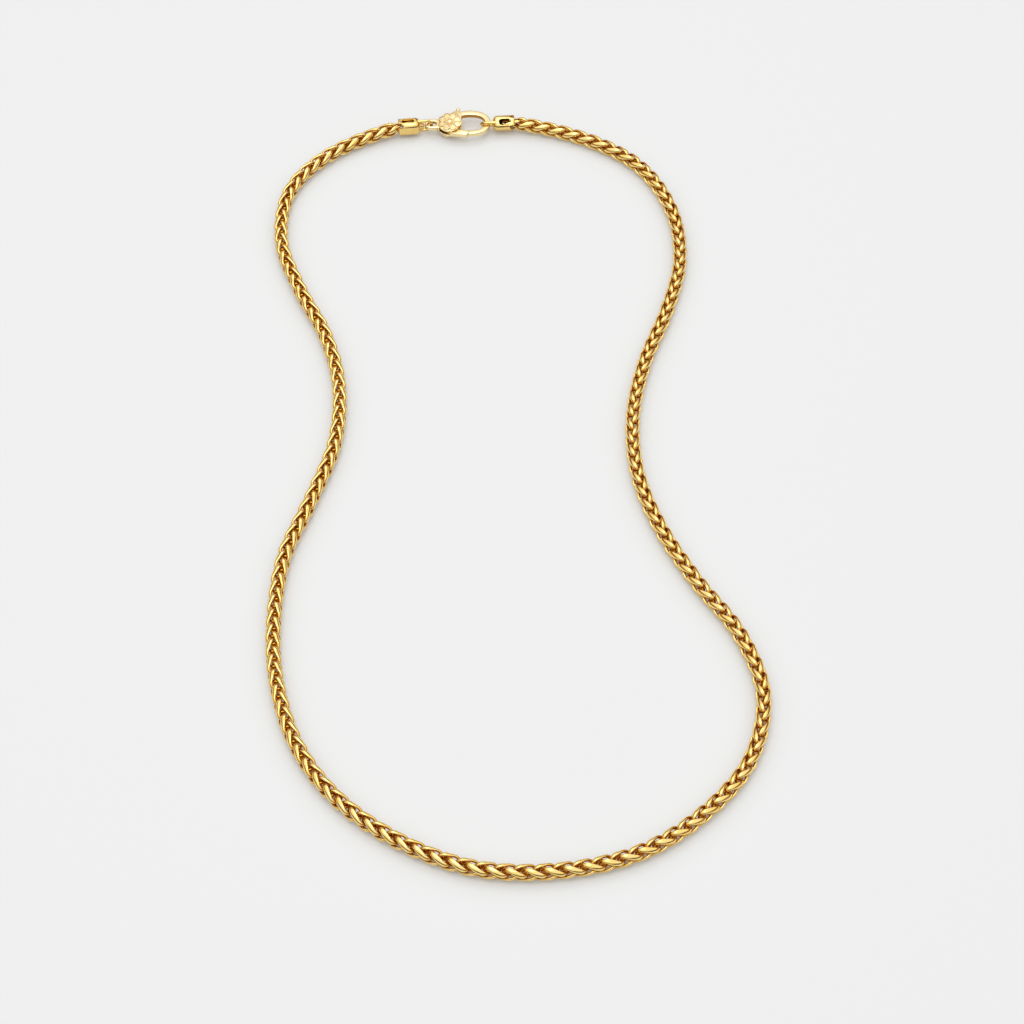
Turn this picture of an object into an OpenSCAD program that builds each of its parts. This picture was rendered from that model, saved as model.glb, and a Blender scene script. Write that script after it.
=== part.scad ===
// Wheat chain necklace, fastened with a lobster clasp and laid out on a flat surface.
// Millimetres. X runs to the right, Y away from the viewer and Z up. The origin is the
// middle of the necklace's box, on the surface that it lies on.

/* [Chain] */
// Width and height of the chain
chain_d = 4; // [3.2:0.1:5]
// Width of the last link, where it enters an end cap
neck_d = 2.6; // [2:0.1:2.8]
// Length of the last link inside an end cap
neck_l = 2; // [1:0.1:3]
// Length over which the chain narrows to its last link
taper_l = 1.1; // [1:0.1:3]
// Free stretch of the last link between the chain and an end cap
neck_gap = 0.3; // [0.3:0.1:1]

/* [End caps] */
// Length of an end cap's barrel
cap_l = 5.2; // [4.6:0.1:8]
// Width of the barrel across its flats
cap_w = 4; // [3.8:0.1:4.6]
// Diameter of the barrel over its rounded corners
cap_corner_d = 5.3; // [5:0.1:5.6]
// Chamfer round the mouth of a barrel
cap_chamfer = 0.2; // [0.1:0.05:0.4]
// Length of the tapered shoulder between the barrel and its ring
shoulder_l = 0.5; // [0.3:0.1:1]
// Diameter of the shoulder's small end
shoulder_d = 3.3; // [3:0.1:3.8]
// Depth of the bore that takes the last link
mouth_l = 4.6; // [3.6:0.1:5]
// Clearance round the last link in its bore
mouth_clear = 0.2; // [0.1:0.05:0.3]
// Length of the window in each of two opposite flats
window_l = 3.2; // [2:0.1:3.6]
// Width of a window
window_w = 1.7; // [1:0.1:2.2]
// Width of the arched notch in each corner of the mouth
arch_w = 1.2; // [0.8:0.1:1.5]
// Length of an arched notch
arch_l = 1.3; // [0.8:0.1:1.5]

/* [Cap rings] */
// Thickness of a ring's wire
ring_wire = 0.85; // [0.7:0.05:1]
// Spare length inside a ring beside the hook that it holds
ring_slack = 1.2; // [1:0.05:1.5]
// Clearance between a ring and the faces of the hook
ring_clear = 0.15; // [0.1:0.05:0.3]
// Clearance between a ring's tip and the edge that it pulls on
pull_clear = 0.5; // [0.4:0.05:0.6]
// Turn of the left cap about its own length
left_roll = -6; // [-15:1:15]
// Turn of the right cap about its own length
right_roll = 33; // [20:1:36]
// Heading of the left cap on the surface
left_heading = 6; // [0:1:10]
// Heading of the right cap on the surface
right_heading = 3; // [0:1:8]

/* [Clasp body] */
// Distance of the clasp's body to the left of the origin
clasp_left = 15.2; // [14:0.1:17]
// Distance of the clasp's body behind the origin
clasp_back = 113.1; // [112:0.1:114]
// Diameter of the body
body_d = 6.6; // [6.4:0.1:7]
// Thickness of the body
body_t = 2.2; // [1.8:0.1:2.4]
// Distance to the right of the body's middle of the round shoulder over the lever's tail
cheek_right = 1.6; // [1.4:0.1:1.8]
// Distance of that shoulder to the far side of the body's middle
cheek_far = 2.7; // [2.5:0.1:2.9]
// Radius of that shoulder
cheek_r = 1.6; // [1.5:0.1:1.8]
// Diameter of the petalled rosette on each face
rosette_d = 6.4; // [5.8:0.1:6.6]
// Height of a rosette above the body's face
rosette_t = 0.5; // [0.3:0.05:0.6]
// Number of petals
petals = 8; // [6:1:12]
// Overlap of neighbouring petals
petal_overlap = 1.15; // [1.05:0.05:1.3]
// Diameter of a rosette's round centre
centre_d = 1.8; // [1.2:0.1:2.4]
// Height of the round centre above the petals
centre_t = 0.2; // [0.1:0.05:0.4]

/* [Clasp eye] */
// Distance from the body's middle to the eye's middle
eye_reach = 4.8; // [4.6:0.1:5.2]
// Sideways offset of the eye
eye_side = 0.1; // [0:0.1:0.4]
// Length of the eye's hole
eye_hole_l = 2.2; // [2:0.1:2.6]
// Width of the eye's hole
eye_hole_w = 1.7; // [1.6:0.1:1.9]
// Width of the metal round the eye's hole
eye_rim = 0.95; // [0.8:0.05:1.1]
// Thickness of the eye
eye_t = 1.2; // [1:0.1:1.3]

/* [Hook] */
// Thickness of the hook and the gate
hook_t = 1.3; // [1.2:0.1:1.6]
// Reach of the hook from the body's middle
hook_reach = 11; // [10.6:0.1:12]
// Reach of the hook's far limb to the side
hook_far = 5.1; // [4.9:0.1:5.5]
// Reach of the hook's near limb to the other side
hook_near = 3.9; // [3.7:0.1:4.1]
// Width of the far limb
far_w = 1.7; // [1.5:0.1:1.9]
// Width of the hook's end
end_w = 1.6; // [1.4:0.1:1.8]
// Width of the near limb
near_w = 1.5; // [1.3:0.05:1.7]
// Radius of the far limb's outer edge
far_r = 9; // [8:0.5:12]
// Radius of the near limb's outer edge
near_r = 10; // [8:0.5:12]
// Radius of the hook's outer end
end_r = 4.8; // [4.5:0.1:5]
// Chamfer along the edges of the hook, the gate and the eye
edge = 0.25; // [0.1:0.05:0.3]

/* [Gate] */
// Distance of the pivot to the right of the body's middle
pivot_right = 0.3; // [0.1:0.1:0.5]
// Distance of the pivot to the near side of the body's middle
pivot_near = 1.1; // [1:0.1:1.3]
// Diameter of the pivot pin
pin_d = 0.9; // [0.7:0.1:1.1]
// Radial clearance of the pin in the lever
pin_clear = 0.04; // [0.02:0.01:0.08]
// Diameter of the lever's hub
hub_d = 2.6; // [2.2:0.1:2.8]
// Thickness of the lever between the cheeks
lever_t = 0.8; // [0.6:0.05:0.9]
// Clearance round the lever
lever_clear = 0.1; // [0.05:0.05:0.15]
// Radius of the body round the pivot, where the gate turns
knuckle_r = 2.1; // [2:0.05:2.3]
// Radius from the pivot to the end of the gate
gate_r = 5.35; // [5.2:0.05:5.5]
// Width of the gate
gate_w = 1.9; // [1.6:0.1:2]
// Distance from the pivot's line to the gate's inner edge
gate_side = 0.7; // [0.6:0.05:0.8]
// Slope of the gate
gate_slope = 8; // [5:1:10]
// Furthest turn of the lever
gate_swing = 20; // [12:1:22]
// Length of the tail from the pivot to the knob's middle
tail_l = 7.2; // [7:0.1:7.6]
// Width of the tail
tail_w = 1; // [0.8:0.1:1.2]
// Direction of the tail
tail_angle = 75; // [74:1:78]
// Diameter of the thumb knob
knob_d = 1.15; // [1:0.05:1.4]

/* [Hidden] */
fine = 72;
small = 36;
over = 0.5;

// Route of the chain on the surface, from the left cap round the loop to the right cap.
// The two ends come from the caps.
route = [
    [-46.5, 103], [-57, 89], [-58.5, 71], [-53, 54], [-45.5, 37.5], [-41.5, 20.5],
    [-42, 2.5], [-47, -15], [-52.5, -32], [-54, -50], [-52.5, -67.5], [-47, -85],
    [-37, -99.5], [-22.5, -110.5], [-6, -117], [12, -117.5], [29.5, -113], [44, -103],
    [55, -89], [59, -71.5], [54.5, -54.5], [45, -39], [37, -23], [32, -6], [31.5, 12],
    [35, 29.5], [41, 46.5], [45, 64], [43.5, 82], [35.5, 98], [21, 108.5]
];

// Sizes that follow from the ones above
corners = 4;
corner_r = cap_corner_d / 2;
bore_r = neck_d / 2 + mouth_clear;
ring_hole_l = end_w + ring_slack;
ring_l = ring_hole_l + ring_wire;
ring_half = (hook_t / 2 + ring_clear + ring_wire / 2) / cos(right_roll);
cap_whole_l = cap_l + shoulder_l + ring_l;
// Angle from the middle of a flat to where the round corner starts
flat_half_angle = acos(cap_w / cap_corner_d);
// Height of a rolled barrel's axis when it rests on the surface
function rest_height(roll) =
    abs(roll) < flat_half_angle ? corner_r * cos(flat_half_angle - abs(roll)) : corner_r;
cap_z = max(rest_height(left_roll), rest_height(right_roll));
clasp_at = [-clasp_left, clasp_back, cap_z];
pivot = [pivot_right, -pivot_near, 0];
slot_t = lever_t + 2 * lever_clear;
joint_r = gate_r + lever_clear;
// Direction from the pivot, square to the shut gate, where the gate's space starts
quarter = 90;
gate_way_start = -gate_slope - quarter;

// Tip of each cap's ring, where it is hooked in, and the mouth of each cap
left_tip = [
    clasp_at[0] - eye_reach - eye_hole_l / 2 + pull_clear + ring_wire,
    clasp_at[1] + eye_side
];
right_tip = [
    clasp_at[0] + hook_reach - end_w - pull_clear - ring_wire,
    clasp_at[1] + (hook_far - hook_near) / 4
];
left_mouth = left_tip - cap_whole_l * [cos(left_heading), sin(left_heading)];
right_mouth = right_tip + cap_whole_l * [cos(right_heading), sin(right_heading)];

// Parts

// The chain's outer form: one tube swept along the route, narrowed to a link at each end
module chain() {
    color([0.85, 0.65, 0.24]) tube(chain_rings());
}

// Cap that closes the left end of the chain, hooked into the clasp's eye
module end_cap_left() {
    color([0.87, 0.69, 0.3])
        translate([left_mouth[0], left_mouth[1], cap_z])
            rotate([0, 0, left_heading])
                rotate([left_roll, 0, 0])
                    end_cap();
}

// Cap that closes the right end of the chain, held by the hook
module end_cap_right() {
    color([0.87, 0.69, 0.3])
        translate([right_mouth[0], right_mouth[1], cap_z])
            rotate([0, 0, 180 + right_heading])
                rotate([-right_roll, 0, 0])
                    end_cap();
}

// Body with its eye, its hook and a rosette on each face, slotted for the lever
module clasp_body() {
    color([0.91, 0.77, 0.45]) translate(clasp_at) {
        difference() {
            union() {
                cylinder(d = body_d, h = body_t, center = true, $fn = fine);
                translate(pivot) cylinder(r = knuckle_r, h = body_t, center = true, $fn = fine);
                translate([cheek_right, cheek_far, 0])
                    cylinder(r = cheek_r, h = body_t, center = true, $fn = fine);
                eye();
                hook();
            }
            eye_hole();
            gate_way();
            lever_slot();
            translate(pivot)
                cylinder(d = pin_d, h = body_t, center = true, $fn = small);
        }
        for (side = [0, 180])
            rotate([side, 0, 0]) translate([0, 0, body_t / 2]) rosette();
    }
}

// Gate, hub, tail and thumb knob: one lever that turns on the pin
module clasp_lever() {
    color([0.91, 0.77, 0.45]) translate(clasp_at + pivot) difference() {
        union() {
            gate();
            cylinder(d = hub_d, h = lever_t, center = true, $fn = fine);
            gate_neck();
            rotate([0, 0, tail_angle]) {
                translate([0, -tail_w / 2, -lever_t / 2]) cube([tail_l, tail_w, lever_t]);
                translate([tail_l, 0, 0]) sphere(d = knob_d, $fn = small);
            }
        }
        cylinder(d = pin_d + 2 * pin_clear, h = hook_t + over, center = true, $fn = small);
    }
}

// Pin pressed into both cheeks of the body, under the rosettes
module lever_pin() {
    color([0.8, 0.6, 0.25]) translate(clasp_at + pivot)
        cylinder(d = pin_d, h = body_t, center = true, $fn = small);
}

// Shapes of the end caps

// One cap: mouth at the origin, axis along +X, ring in the XZ plane at the far end
module end_cap() {
    difference() {
        union() {
            intersection() {
                translate([0, -cap_w / 2, -cap_w / 2]) cube([cap_l + shoulder_l, cap_w, cap_w]);
                turned_barrel();
            }
            translate([cap_l + shoulder_l, 0, 0]) ring();
        }
        translate([-over, 0, 0]) rotate([0, 90, 0])
            cylinder(r = bore_r, h = mouth_l + over, $fn = fine);
        translate([cap_l / 2, 0, 0]) window();
        for (corner = [0.5 : corners - 0.5])
            rotate([corner * quarter, 0, 0]) arch();
    }
}

// The turned form that rounds the barrel's corners and tapers its shoulder
module turned_barrel() {
    rotate([90, 0, 90]) rotate_extrude($fn = fine) polygon([
        [0, 0],
        [corner_r - cap_chamfer, 0],
        [corner_r, cap_chamfer],
        [corner_r, cap_l],
        [shoulder_d / 2, cap_l + shoulder_l],
        [0, cap_l + shoulder_l]
    ]);
}

// Window cut right through the barrel from one flat to the opposite one
module window() {
    straight = window_l - window_w;
    for (end = [-1, 1])
        translate([end * straight / 2, 0, 0])
            cylinder(d = window_w, h = cap_w + over, center = true, $fn = small);
    cube([straight, window_w, cap_w + over], center = true);
}

// Arched notch in the mouth's rim, open towards the chain
module arch() {
    centre = arch_l - arch_w / 2;
    translate([centre, 0, 0]) cylinder(d = arch_w, h = cap_w, $fn = small);
    translate([-over, -arch_w / 2, 0]) cube([centre + over, arch_w, cap_w]);
}

// Ring at the end of a cap, with its straight legs sunk into the shoulder
module ring() {
    leg = ring_l - ring_half - ring_wire / 2;
    root = cap_l / 4;
    for (side = [-1, 1])
        translate([-root, 0, side * ring_half]) rotate([0, 90, 0])
            cylinder(d = ring_wire, h = root + leg, $fn = small);
    translate([leg, 0, 0]) rotate([90, 0, 0]) rotate([0, 0, -90])
        rotate_extrude(angle = 180, $fn = fine) translate([ring_half, 0])
            circle(d = ring_wire, $fn = small);
}

// Shapes of the clasp

// Round plate with both rims chamfered
module plate(r, t) {
    rotate_extrude($fn = 2 * fine) polygon([
        [0, -t / 2], [r - edge, -t / 2], [r, edge - t / 2],
        [r, t / 2 - edge], [r - edge, t / 2], [0, t / 2]
    ]);
}

// Round cutter that flares at both faces, so that it chamfers the hole it cuts
module cutter(r, t) {
    flare = edge + over;
    rotate_extrude($fn = 2 * fine) polygon([
        [0, -t / 2 - over], [r + flare, -t / 2 - over], [r, edge - t / 2],
        [r, t / 2 - edge], [r + flare, t / 2 + over], [0, t / 2 + over]
    ]);
}

// Eye that the left cap's ring passes through, with the neck that joins it to the body
module eye() {
    half = (eye_hole_l - eye_hole_w) / 2;
    rim_r = eye_hole_w / 2 + eye_rim;
    translate([-eye_reach, eye_side, 0]) {
        for (end = [-1, 1]) translate([end * half, 0, 0]) plate(rim_r, eye_t);
        rotate([90, 0, 90]) linear_extrude(eye_reach) polygon([
            [edge - rim_r, -eye_t / 2], [rim_r - edge, -eye_t / 2], [rim_r, edge - eye_t / 2],
            [rim_r, eye_t / 2 - edge], [rim_r - edge, eye_t / 2], [edge - rim_r, eye_t / 2],
            [-rim_r, eye_t / 2 - edge], [-rim_r, edge - eye_t / 2]
        ]);
    }
}

module eye_hole() {
    half = (eye_hole_l - eye_hole_w) / 2;
    translate([-eye_reach, eye_side, 0]) {
        for (end = [-1, 1])
            translate([end * half, 0, 0])
                cylinder(d = eye_hole_w, h = body_t + over, center = true, $fn = small);
        cube([2 * half, eye_hole_w, body_t + over], center = true);
    }
}

// Middles of the arcs that bound the hook: its far limb, its near limb and its end
far_at = [hook_reach / 2, hook_far - far_r, 0];
near_at = [hook_reach / 2, near_r - hook_near, 0];
end_at = [hook_reach - end_r, (hook_far - hook_near) / 2, 0];

// Hook without its mouth: the band between two rounded outlines, right of the tail's way
module hook() {
    past_tail = tail_w / 2 + 2 * lever_clear;
    difference() {
        intersection() {
            translate(far_at) plate(far_r, hook_t);
            translate(near_at) plate(near_r, hook_t);
            union() {
                translate(end_at) plate(end_r, hook_t);
                left_of_end();
            }
            translate(pivot) rotate([0, 0, tail_angle])
                translate([-hook_reach, -2 * hook_reach - past_tail, -hook_t])
                    cube([3 * hook_reach, 2 * hook_reach, 2 * hook_t]);
        }
        intersection() {
            translate(far_at) cutter(far_r - far_w, hook_t);
            translate(near_at) cutter(near_r - near_w, hook_t);
            union() {
                translate(end_at) cutter(end_r - end_w, hook_t);
                left_of_end();
            }
        }
    }
}

// Block from the body's middle to the middle of the hook's end
module left_of_end() {
    translate([0, -hook_reach, -hook_t]) cube([end_at[0], 2 * hook_reach, 2 * hook_t]);
}

// A slice of a round, from one angle to another, about the pivot
module slice(from, to, r, t) {
    translate(pivot) rotate([0, 0, from])
        rotate_extrude(angle = to - from, $fn = fine)
            translate([0, -t / 2]) square([r, t]);
}

// Space that the gate sweeps from the knuckle to the hook's tip
module gate_way() {
    difference() {
        slice(gate_way_start, gate_swing - gate_slope, joint_r, body_t);
        translate(pivot) cylinder(r = knuckle_r, h = body_t + over, center = true, $fn = fine);
    }
}

// Slot between the cheeks for the hub, the gate's neck and the tail, open on the near side
// as far as the eye
module lever_slot() {
    tail_slot_w = tail_w + 2 * lever_clear;
    translate(pivot)
        cylinder(r = hub_d / 2 + lever_clear, h = slot_t, center = true, $fn = fine);
    slice(gate_way_start, gate_swing - gate_slope, knuckle_r + over, slot_t);
    slice(-180, gate_way_start, body_d / 2 + pivot_right, slot_t);
    slice(tail_angle, tail_angle + gate_swing, body_d, slot_t);
    for (turn = [0, gate_swing])
        translate(pivot) rotate([0, 0, tail_angle + turn])
            translate([0, -tail_slot_w / 2, -slot_t / 2]) cube([body_d, tail_slot_w, slot_t]);
}

// Petalled rosette that lies on a face of the body
module rosette() {
    spread = sin(180 / petals);
    petal_r = rosette_d / 2 * petal_overlap * spread / (1 + spread);
    petals_r = rosette_d / 2 - petal_r;
    cylinder(r = petals_r, h = rosette_t, $fn = fine);
    for (i = [0 : petals - 1])
        rotate([0, 0, (i + 0.5) * 360 / petals]) translate([petals_r, 0, 0])
            cylinder(r = petal_r, h = rosette_t, $fn = small);
    cylinder(d = centre_d, h = rosette_t + centre_t, $fn = small);
}

// Shapes of the lever, all about the pivot

// Straight gate, rounded about the pivot at both ends
module gate() {
    inner_r = knuckle_r + lever_clear;
    difference() {
        intersection() {
            rotate([0, 0, -gate_slope]) rotate([90, 0, 90])
                linear_extrude(2 * gate_r, center = true) gate_section();
            plate(gate_r, hook_t);
            rotate([0, 0, -gate_slope]) translate([0, -gate_r, -hook_t])
                cube([gate_r, 2 * gate_r, 2 * hook_t]);
        }
        cylinder(r = inner_r, h = hook_t + over, center = true, $fn = fine);
    }
}

// Section across the gate, chamfered along its four edges
module gate_section() {
    inside = -gate_side;
    outside = -gate_side - gate_w;
    polygon([
        [outside + edge, -hook_t / 2], [inside - edge, -hook_t / 2],
        [inside, edge - hook_t / 2], [inside, hook_t / 2 - edge],
        [inside - edge, hook_t / 2], [outside + edge, hook_t / 2],
        [outside, hook_t / 2 - edge], [outside, edge - hook_t / 2]
    ]);
}

// Thin neck that joins the gate to the hub inside the slot
module gate_neck() {
    neck_w = gate_side + gate_w - edge;
    intersection() {
        rotate([0, 0, -gate_slope]) translate([0, -neck_w, -lever_t / 2])
            cube([gate_r, neck_w, lever_t]);
        cylinder(r = knuckle_r + 2 * edge, h = lever_t, center = true, $fn = fine);
    }
}

// The tube

// Catmull-Rom spline through the route, with the caps' headings at its ends
ends_step = 18;
path = concat(
    [left_mouth + ends_step * [cos(left_heading), sin(left_heading)], left_mouth],
    route,
    [right_mouth, right_mouth - ends_step * [cos(right_heading), sin(right_heading)]]
);
function spline(a, b, c, d, t) =
    (2 * b + (c - a) * t + (2 * a - 5 * b + 4 * c - d) * t * t
        + (3 * b - a - 3 * c + d) * t * t * t) / 2;
// Rise of the chain from the surface to the caps, over the first and the last span
function lift(t) = (cap_z - chain_d / 2) * (1 - t) * (1 - t);
spans = len(path) - 3;
function at(u) =
    let (i = min(floor(u), spans - 1), t = u - i)
    let (p = spline(path[i], path[i + 1], path[i + 2], path[i + 3], t))
    let (rise = i == 0 ? lift(t) : i == spans - 1 ? lift(1 - t) : 0)
    [p[0], p[1], chain_d / 2 + rise];
left_dir = [cos(left_heading), sin(left_heading), 0];
right_dir = [cos(right_heading), sin(right_heading), 0];

// A ring of the tube: where its middle is, which way it faces and its radius
tube_r = chain_d / 2;
wide_at = (neck_gap + taper_l) / ends_step;
narrow_at = neck_gap / ends_step;
function facing(u) =
    let (d = at(min(u + 0.05, spans)) - at(max(u - 0.05, 0))) d / norm(d);
function chain_rings() = concat(
    [
        [at(0) + neck_l * left_dir, -left_dir, neck_d / 2],
        [at(narrow_at), facing(narrow_at), neck_d / 2],
        [at(wide_at), facing(wide_at), tube_r]
    ],
    [for (u = [0.5 : 0.5 : spans - 0.5]) [at(u), facing(u), tube_r]],
    [
        [at(spans - wide_at), facing(spans - wide_at), tube_r],
        [at(spans - narrow_at), facing(spans - narrow_at), neck_d / 2],
        [at(spans) - neck_l * right_dir, -right_dir, neck_d / 2]
    ]
);

// Closed tube through a list of rings, flat side down
module tube(rings) {
    sides = 12;
    flat = cos(180 / sides);
    points = [
        for (ring = rings)
            let (across = cross([0, 0, 1], ring[1]) / norm(cross([0, 0, 1], ring[1])))
            let (up = cross(ring[1], across))
            for (k = [0 : sides - 1])
                let (angle = (k + 0.5) * 360 / sides)
                ring[0] + ring[2] / flat * (cos(angle) * across + sin(angle) * up)
    ];
    last = (len(rings) - 1) * sides;
    faces = concat(
        [[for (k = [0 : sides - 1]) k]],
        [
            for (i = [0 : len(rings) - 2], k = [0 : sides - 1])
                let (a = i * sides + k, b = i * sides + (k + 1) % sides)
                [b, a, a + sides, b + sides]
        ],
        [[for (k = [sides - 1 : -1 : 0]) last + k]]
    );
    polyhedron(points, faces, convexity = 8);
}

chain();
end_cap_left();
end_cap_right();
clasp_body();
clasp_lever();
lever_pin();
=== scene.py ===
import bmesh
import bpy
import math
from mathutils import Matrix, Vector


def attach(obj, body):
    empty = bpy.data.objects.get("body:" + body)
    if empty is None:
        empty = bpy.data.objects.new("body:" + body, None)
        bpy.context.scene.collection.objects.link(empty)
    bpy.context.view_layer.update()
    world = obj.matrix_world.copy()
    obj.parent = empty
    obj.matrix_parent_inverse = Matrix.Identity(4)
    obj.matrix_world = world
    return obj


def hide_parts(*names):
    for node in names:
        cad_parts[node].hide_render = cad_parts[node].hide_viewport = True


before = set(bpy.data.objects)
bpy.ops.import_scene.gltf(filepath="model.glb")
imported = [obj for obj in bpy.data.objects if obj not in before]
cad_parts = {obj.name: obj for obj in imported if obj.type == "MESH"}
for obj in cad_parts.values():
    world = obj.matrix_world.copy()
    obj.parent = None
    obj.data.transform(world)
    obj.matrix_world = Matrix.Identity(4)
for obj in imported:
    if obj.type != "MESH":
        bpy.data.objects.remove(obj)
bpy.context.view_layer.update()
mm = 0.001
near = 0.01 * mm           # vertices this close to a plane count as lying on it
axisHeight = 2.6242 * mm   # of the middle of the caps and the clasp over the surface
print("frame loaded")


# Camera, floor and light

cameraSettings = {
    "place": (0.00155, -0.4184, 0.5175),
    "lean": math.radians(37.8),
    "lens": 95.44,
    "sensor": 36,
}
floorSettings = {
    "size": 6.0, "below": 0.00002, "colour": (0.588, 0.614, 0.640), "rough": 0.75,
    "glow": (0.156, 0.146, 0.130),  # a lit table, so that the shadows stay faint and warm
}
lightSettings = {
    "top": {"place": (-0.10, -0.15, 1.20), "size": (0.6, 0.6), "power": 3.0, "colour": (1.0, 0.99, 0.97)},
    "back": {"place": (0.0, 0.58, 1.05), "size": (0.7, 0.42), "power": 1.5, "colour": (1.0, 0.99, 0.97)},
}
worldSettings = {
    "seen": (0.86, 0.86, 0.86),
    "above": (1.09, 1.09, 1.08),    # the white tent over the necklace
    "horizon": (0.24, 0.095, 0.012),
    "front": (0.03, 0.012, 0.003),  # the dark room behind the camera
    "from": 0.24,                   # sine of the height at which the tent starts
    "to": 0.62,
    "frontAt": (-0.45, -0.85),      # how far the direction leans to the front, from the side to the dark
}


def makeCamera(settings):
    bpy.ops.object.camera_add(location=settings["place"], rotation=(settings["lean"], 0, 0))
    camera = bpy.context.object
    camera.name = "photoCamera"
    camera.data.lens = settings["lens"]
    camera.data.sensor_width = settings["sensor"]
    camera.data.clip_start = 0.01
    bpy.context.scene.camera = camera


def makeLight(name, settings):
    at = Vector(settings["place"])
    bpy.ops.object.light_add(type="AREA", location=at)
    lamp = bpy.context.object
    lamp.name = name + "Light"
    lamp.rotation_euler = (-at).to_track_quat("-Z", "Y").to_euler()
    lamp.data.shape = "RECTANGLE"
    lamp.data.size, lamp.data.size_y = settings["size"]
    lamp.data.energy = settings["power"]
    lamp.data.color = settings["colour"]
    lamp.visible_camera = False


def makeWorld(settings):
    # a colour mix has its two colours at inputs 6 and 7 and its result at output 2
    world = bpy.data.worlds.new("studio")
    bpy.context.scene.world = world
    world.use_nodes = True
    nodes, links = world.node_tree.nodes, world.node_tree.links
    nodes.clear()
    output = nodes.new("ShaderNodeOutputWorld")
    mix = nodes.new("ShaderNodeMixShader")
    path = nodes.new("ShaderNodeLightPath")
    tent, seen = nodes.new("ShaderNodeBackground"), nodes.new("ShaderNodeBackground")
    seen.inputs["Color"].default_value = (*settings["seen"], 1)
    links.new(tent.outputs[0], mix.inputs[1])
    links.new(seen.outputs[0], mix.inputs[2])
    coordinates, split = nodes.new("ShaderNodeTexCoord"), nodes.new("ShaderNodeSeparateXYZ")
    height, blend = nodes.new("ShaderNodeMapRange"), nodes.new("ShaderNodeMix")
    height.interpolation_type = "SMOOTHSTEP"
    height.inputs["From Min"].default_value = settings["from"]
    height.inputs["From Max"].default_value = settings["to"]
    blend.data_type = "RGBA"
    blend.inputs[7].default_value = (*settings["above"], 1)
    lean, low = nodes.new("ShaderNodeMapRange"), nodes.new("ShaderNodeMix")
    lean.inputs["From Min"].default_value, lean.inputs["From Max"].default_value = settings["frontAt"]
    low.data_type = "RGBA"
    low.inputs[6].default_value = (*settings["horizon"], 1)
    low.inputs[7].default_value = (*settings["front"], 1)
    links.new(split.outputs["Y"], lean.inputs["Value"])
    links.new(lean.outputs["Result"], low.inputs[0])
    links.new(low.outputs[2], blend.inputs[6])
    links.new(coordinates.outputs["Generated"], split.inputs[0])
    links.new(split.outputs["Z"], height.inputs["Value"])
    links.new(height.outputs["Result"], blend.inputs[0])
    links.new(blend.outputs[2], tent.inputs["Color"])
    links.new(path.outputs["Is Camera Ray"], mix.inputs[0])
    links.new(mix.outputs[0], output.inputs[0])


def makeFloor(settings):
    bpy.ops.mesh.primitive_plane_add(size=settings["size"], location=(0, 0, -settings["below"]))
    floor = bpy.context.object
    floor.name = "floor"
    material = bpy.data.materials.new("paleFloor")
    material.use_nodes = True
    shader = material.node_tree.nodes["Principled BSDF"]
    shader.inputs["Base Color"].default_value = (*settings["colour"], 1)
    shader.inputs["Roughness"].default_value = settings["rough"]
    shader.inputs["Emission Color"].default_value = (*settings["glow"], 1)
    shader.inputs["Emission Strength"].default_value = 1.0
    floor.data.materials.append(material)


makeCamera(cameraSettings)
for lightName, oneLight in lightSettings.items():
    makeLight(lightName, oneLight)
makeWorld(worldSettings)
makeFloor(floorSettings)
bpy.context.scene.view_settings.view_transform = "Standard"
print("camera, floor and light made")


# Finishes

def finishGroup():
    # handling marks on polished metal: soft cloudy polish and fine scratches
    group = bpy.data.node_groups.new("polishMarks", "ShaderNodeTree")
    face = group.interface
    for name, value in (("Cloud Scale", 900.0), ("Scratch Scale", 5000.0), ("Streak", 1.0)):
        socket = face.new_socket(name=name, in_out="INPUT", socket_type="NodeSocketFloat")
        socket.default_value = value
    for name in ("Cloud", "Scratches"):
        face.new_socket(name=name, in_out="OUTPUT", socket_type="NodeSocketFloat")
    nodes, links = group.nodes, group.links
    inside, outside = nodes.new("NodeGroupInput"), nodes.new("NodeGroupOutput")
    coordinates = nodes.new("ShaderNodeTexCoord")
    cloud = nodes.new("ShaderNodeTexNoise")
    cloud.inputs["Detail"].default_value = 3
    links.new(coordinates.outputs["Object"], cloud.inputs["Vector"])
    links.new(inside.outputs["Cloud Scale"], cloud.inputs["Scale"])
    links.new(cloud.outputs["Fac"], outside.inputs["Cloud"])
    along, stretched = nodes.new("ShaderNodeCombineXYZ"), nodes.new("ShaderNodeVectorMath")
    along.inputs["Y"].default_value = 1
    along.inputs["Z"].default_value = 1
    stretched.operation = "MULTIPLY"
    links.new(inside.outputs["Streak"], along.inputs["X"])
    links.new(coordinates.outputs["Object"], stretched.inputs[0])
    links.new(along.outputs[0], stretched.inputs[1])
    scratch = nodes.new("ShaderNodeTexNoise")
    scratch.inputs["Detail"].default_value = 2
    links.new(stretched.outputs[0], scratch.inputs["Vector"])
    links.new(inside.outputs["Scratch Scale"], scratch.inputs["Scale"])
    links.new(scratch.outputs["Fac"], outside.inputs["Scratches"])
    return group


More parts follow.
